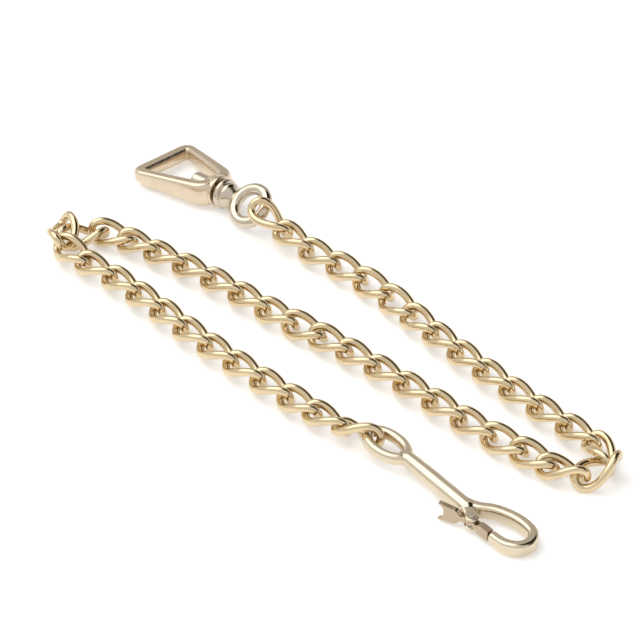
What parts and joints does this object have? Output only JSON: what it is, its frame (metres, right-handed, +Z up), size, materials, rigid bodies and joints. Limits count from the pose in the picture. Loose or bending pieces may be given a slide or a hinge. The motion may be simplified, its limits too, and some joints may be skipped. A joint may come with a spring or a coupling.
{
  "type": "curb chain with snap hook and swivel strap loop",
  "caption": "Gold-coloured twisted curb chain laid in a flat S, with a swivelling cast strap loop at one end and a spring trigger snap at the other.",
  "frame": {"origin": "middle of the underside of the laid-out chain", "axes": "+Z up from the surface it lies on; +X and +Y in that surface, the three runs of chain slanting from low X, high Y to high X, low Y"},
  "size_m": [0.182, 0.2154, 0.0145],
  "materials": {
    "link_metal": "polished pale gold plate",
    "cast_metal": "polished pale gold plate over a soft casting",
    "ring_metal": "polished, paler and greyer gold plate",
    "snap_metal": "polished pale gold plate",
    "lever_metal": "polished gold plate",
    "rivet_metal": "darker satin brass",
    "spring_metal": "plain spring wire"
  },
  "bodies": {
    "link_01": {"link_01": "link_metal"},
    "link_02": {"link_02": "link_metal"},
    "link_03": {"link_03": "link_metal"},
    "link_04": {"link_04": "link_metal"},
    "link_05": {"link_05": "link_metal"},
    "link_06": {"link_06": "link_metal"},
    "link_07": {"link_07": "link_metal"},
    "link_08": {"link_08": "link_metal"},
    "link_09": {"link_09": "link_metal"},
    "link_10": {"link_10": "link_metal"},
    "link_11": {"link_11": "link_metal"},
    "link_12": {"link_12": "link_metal"},
    "link_13": {"link_13": "link_metal"},
    "link_14": {"link_14": "link_metal"},
    "link_15": {"link_15": "link_metal"},
    "link_16": {"link_16": "link_metal"},
    "link_17": {"link_17": "link_metal"},
    "link_18": {"link_18": "link_metal"},
    "link_19": {"link_19": "link_metal"},
    "link_20": {"link_20": "link_metal"},
    "link_21": {"link_21": "link_metal"},
    "link_22": {"link_22": "link_metal"},
    "link_23": {"link_23": "link_metal"},
    "link_24": {"link_24": "link_metal"},
    "link_25": {"link_25": "link_metal"},
    "link_26": {"link_26": "link_metal"},
    "link_27": {"link_27": "link_metal"},
    "link_28": {"link_28": "link_metal"},
    "link_29": {"link_29": "link_metal"},
    "link_30": {"link_30": "link_metal"},
    "link_31": {"link_31": "link_metal"},
    "link_32": {"link_32": "link_metal"},
    "link_33": {"link_33": "link_metal"},
    "link_34": {"link_34": "link_metal"},
    "link_35": {"link_35": "link_metal"},
    "link_36": {"link_36": "link_metal"},
    "link_37": {"link_37": "link_metal"},
    "link_38": {"link_38": "link_metal"},
    "link_39": {"link_39": "link_metal"},
    "link_40": {"link_40": "link_metal"},
    "link_41": {"link_41": "link_metal"},
    "link_42": {"link_42": "link_metal"},
    "link_43": {"link_43": "link_metal"},
    "link_44": {"link_44": "link_metal"},
    "link_45": {"link_45": "link_metal"},
    "link_46": {"link_46": "link_metal"},
    "strap_loop": {"strap_loop": "cast_metal"},
    "swivel_eye": {"swivel_eye": "ring_metal"},
    "snap": {"snap_body": "snap_metal", "trigger_rivet": "rivet_metal", "trigger_spring": "spring_metal"},
    "trigger": {"trigger_lever": "lever_metal"}
  },
  "joints": [
    {"name": "swivel_spin", "type": "hinge", "parent": "swivel_eye", "child": "strap_loop", "pos_m": [-0.03622, 0.07995, 0.00549], "axis": [0.6982, -0.7105, 0.0872], "continuous": true},
    {"name": "trigger_pivot", "type": "hinge", "parent": "snap", "child": "trigger", "pos_m": [0.0446, -0.09429, 0.00356], "axis": [0.0278, -0.0313, 0.9991], "range_deg": [0, 28], "stiffness_Nm_per_rad": 0.004, "springref_deg": -8.59},
    {"name": "links_22_23", "type": "hinge", "parent": "link_23", "child": "link_22", "pos_m": [0.01673, -0.01892, 0.0044], "axis": [-0.6967, -0.7174, 0], "range_deg": [-18, 18]},
    {"name": "links_21_22", "type": "hinge", "parent": "link_22", "child": "link_21", "pos_m": [0.0255, -0.02771, 0.0044], "axis": [0.7105, 0.7037, 0], "range_deg": [-17, 17]},
    {"name": "links_20_21", "type": "hinge", "parent": "link_21", "child": "link_20", "pos_m": [0.03421, -0.0366, 0.00439], "axis": [-0.7198, -0.6941, 0], "range_deg": [-17, 17]},
    {"name": "links_19_20", "type": "hinge", "parent": "link_20", "child": "link_19", "pos_m": [0.04268, -0.0456, 0.00439], "axis": [0.7133, 0.7009, 0], "range_deg": [-17, 17]},
    {"name": "links_18_19", "type": "hinge", "parent": "link_19", "child": "link_18", "pos_m": [0.05129, -0.05403, 0.00441], "axis": [-0.6746, -0.7382, 0], "range_deg": [-17, 17]},
    {"name": "links_17_18", "type": "hinge", "parent": "link_18", "child": "link_17", "pos_m": [0.06012, -0.06166, 0.00454], "axis": [0.6406, 0.7679, 0], "range_deg": [-18, 18]},
    {"name": "links_16_17", "type": "hinge", "parent": "link_17", "child": "link_16", "pos_m": [0.06834, -0.06878, 0.00388], "axis": [-0.5872, -0.8094, 0], "range_deg": [-13, 17]},
    {"name": "links_15_16", "type": "hinge", "parent": "link_16", "child": "link_15", "pos_m": [0.07819, -0.07524, 0.00412], "axis": [0.078, 0.997, 0], "range_deg": [-18, 17]},
    {"name": "links_14_15", "type": "hinge", "parent": "link_15", "child": "link_14", "pos_m": [0.08833, -0.06959, 0.00625], "axis": [0.9817, -0.1904, 0], "range_deg": [-13, 9]},
    {"name": "links_13_14", "type": "hinge", "parent": "link_14", "child": "link_13", "pos_m": [0.08348, -0.05761, 0.00481], "axis": [-0.8538, -0.5207, 0], "range_deg": [-13, 18]},
    {"name": "links_12_13", "type": "hinge", "parent": "link_13", "child": "link_12", "pos_m": [0.07492, -0.04895, 0.00431], "axis": [0.7433, 0.669, 0], "range_deg": [-18, 17]},
    {"name": "links_11_12", "type": "hinge", "parent": "link_12", "child": "link_11", "pos_m": [0.06646, -0.03991, 0.0044], "axis": [-0.7457, -0.6663, 0], "range_deg": [-18, 18]},
    {"name": "links_10_11", "type": "hinge", "parent": "link_11", "child": "link_10", "pos_m": [0.05836, -0.03053, 0.0044], "axis": [0.7692, 0.639, 0], "range_deg": [-18, 18]},
    {"name": "links_09_10", "type": "hinge", "parent": "link_10", "child": "link_09", "pos_m": [0.05065, -0.02084, 0.0044], "axis": [-0.7857, -0.6187, 0], "range_deg": [-18, 18]},
    {"name": "links_08_09", "type": "hinge", "parent": "link_09", "child": "link_08", "pos_m": [0.04306, -0.01105, 0.0044], "axis": [0.7938, 0.6081, 0], "range_deg": [-18, 18]},
    {"name": "links_07_08", "type": "hinge", "parent": "link_08", "child": "link_07", "pos_m": [0.03557, -0.00119, 0.0044], "axis": [-0.8073, -0.5902, 0], "range_deg": [-18, 18]},
    {"name": "links_06_07", "type": "hinge", "parent": "link_07", "child": "link_06", "pos_m": [0.02844, 0.00902, 0.00439], "axis": [0.8153, 0.5791, 0], "range_deg": [-18, 18]},
    {"name": "links_05_06", "type": "hinge", "parent": "link_06", "child": "link_05", "pos_m": [0.0212, 0.01925, 0.00439], "axis": [-0.7832, -0.6217, 0], "range_deg": [-18, 13]},
    {"name": "links_04_05", "type": "hinge", "parent": "link_05", "child": "link_04", "pos_m": [0.01299, 0.02848, 0.00442], "axis": [0.7313, 0.682, 0], "range_deg": [-17, 17]},
    {"name": "links_03_04", "type": "hinge", "parent": "link_04", "child": "link_03", "pos_m": [0.00446, 0.03715, 0.00441], "axis": [-0.6946, -0.7194, 0], "range_deg": [-18, 18]},
    {"name": "links_02_03", "type": "hinge", "parent": "link_03", "child": "link_02", "pos_m": [-0.00452, 0.04534, 0.00451], "axis": [0.7104, 0.7038, 0], "range_deg": [-17, 18]},
    {"name": "links_01_02", "type": "hinge", "parent": "link_02", "child": "link_01", "pos_m": [-0.01214, 0.05439, 0.00524], "axis": [-0.676, -0.7369, 0], "range_deg": [-13, 18]},
    {"name": "ring_on_link_01", "type": "hinge", "parent": "link_01", "child": "swivel_eye", "pos_m": [-0.01912, 0.06254, 0.00763], "axis": [-0.5244, -0.5906, -0.6133], "range_deg": [-18, 18]},
    {"name": "links_23_24", "type": "hinge", "parent": "link_23", "child": "link_24", "pos_m": [0.00786, -0.01055, 0.0044], "axis": [-0.6764, -0.7365, 0], "range_deg": [-18, 18]},
    {"name": "links_24_25", "type": "hinge", "parent": "link_24", "child": "link_25", "pos_m": [-0.0008, -0.00276, 0.0044], "axis": [0.6454, 0.7639, 0], "range_deg": [-18, 18]},
    {"name": "links_25_26", "type": "hinge", "parent": "link_25", "child": "link_26", "pos_m": [-0.00969, 0.00416, 0.0044], "axis": [-0.6482, -0.7615, 0], "range_deg": [-18, 18]},
    {"name": "links_26_27", "type": "hinge", "parent": "link_26", "child": "link_27", "pos_m": [-0.01829, 0.01201, 0.0044], "axis": [0.6853, 0.7283, 0], "range_deg": [-18, 18]},
    {"name": "links_27_28", "type": "hinge", "parent": "link_27", "child": "link_28", "pos_m": [-0.02696, 0.02058, 0.0044], "axis": [-0.6834, -0.73, 0], "range_deg": [-17, 18]},
    {"name": "links_28_29", "type": "hinge", "parent": "link_28", "child": "link_29", "pos_m": [-0.03618, 0.02885, 0.0044], "axis": [0.6533, 0.7571, 0], "range_deg": [-18, 17]},
    {"name": "links_29_30", "type": "hinge", "parent": "link_29", "child": "link_30", "pos_m": [-0.04572, 0.03675, 0.0044], "axis": [-0.626, -0.7798, 0], "range_deg": [-18, 18]},
    {"name": "links_30_31", "type": "hinge", "parent": "link_30", "child": "link_31", "pos_m": [-0.0553, 0.04426, 0.00453], "axis": [0.617, 0.787, 0], "range_deg": [-18, 18]},
    {"name": "links_31_32", "type": "hinge", "parent": "link_31", "child": "link_32", "pos_m": [-0.06394, 0.0515, 0.00393], "axis": [-0.5313, -0.8472, 0], "range_deg": [-17, 13]},
    {"name": "links_32_33", "type": "hinge", "parent": "link_32", "child": "link_33", "pos_m": [-0.07373, 0.05637, 0.00435], "axis": [0.0776, 0.997, 0], "range_deg": [-18, 18]},
    {"name": "links_33_34", "type": "hinge", "parent": "link_33", "child": "link_34", "pos_m": [-0.08599, 0.05649, 0.00501], "axis": [0.2087, -0.978, 0], "range_deg": [-9, 18]},
    {"name": "links_34_35", "type": "hinge", "parent": "link_34", "child": "link_35", "pos_m": [-0.08625, 0.04655, 0.00606], "axis": [-0.9401, -0.341, 0], "range_deg": [-18, 18]},
    {"name": "links_35_36", "type": "hinge", "parent": "link_35", "child": "link_36", "pos_m": [-0.07784, 0.0376, 0.0047], "axis": [0.6888, 0.7249, 0], "range_deg": [-17, 18]},
    {"name": "links_36_37", "type": "hinge", "parent": "link_36", "child": "link_37", "pos_m": [-0.0683, 0.03007, 0.00431], "axis": [-0.698, -0.7161, 0], "range_deg": [-18, 18]},
    {"name": "links_37_38", "type": "hinge", "parent": "link_37", "child": "link_38", "pos_m": [-0.06005, 0.0208, 0.0044], "axis": [0.7492, 0.6623, 0], "range_deg": [-18, 18]},
    {"name": "links_38_39", "type": "hinge", "parent": "link_38", "child": "link_39", "pos_m": [-0.05196, 0.01142, 0.0044], "axis": [-0.7669, -0.6418, 0], "range_deg": [-18, 18]},
    {"name": "links_39_40", "type": "hinge", "parent": "link_39", "child": "link_40", "pos_m": [-0.04419, 0.00177, 0.0044], "axis": [0.7675, 0.641, 0], "range_deg": [-18, 18]},
    {"name": "links_40_41", "type": "hinge", "parent": "link_40", "child": "link_41", "pos_m": [-0.03612, -0.00762, 0.0044], "axis": [-0.7474, -0.6643, 0], "range_deg": [-18, 18]},
    {"name": "links_41_42", "type": "hinge", "parent": "link_41", "child": "link_42", "pos_m": [-0.02773, -0.01673, 0.0044], "axis": [0.73, 0.6834, 0], "range_deg": [-18, 18]},
    {"name": "links_42_43", "type": "hinge", "parent": "link_42", "child": "link_43", "pos_m": [-0.01919, -0.02569, 0.00439], "axis": [-0.719, -0.6951, 0], "range_deg": [-18, 18]},
    {"name": "links_43_44", "type": "hinge", "parent": "link_43", "child": "link_44", "pos_m": [-0.01059, -0.03448, 0.00438], "axis": [0.7062, 0.708, 0], "range_deg": [-18, 18]},
    {"name": "links_44_45", "type": "hinge", "parent": "link_44", "child": "link_45", "pos_m": [-0.00225, -0.04278, 0.00448], "axis": [-0.6768, -0.7362, 0], "range_deg": [-18, 18]},
    {"name": "links_45_46", "type": "hinge", "parent": "link_45", "child": "link_46", "pos_m": [0.00663, -0.05045, 0.00451], "axis": [0.609, 0.7932, 0], "range_deg": [-18, 13]},
    {"name": "eye_on_link_46", "type": "hinge", "parent": "link_46", "child": "snap", "pos_m": [0.01505, -0.05452, 0.00563], "axis": [-0.7478, -0.6639, 0], "range_deg": [-18, 18]}
  ]
}
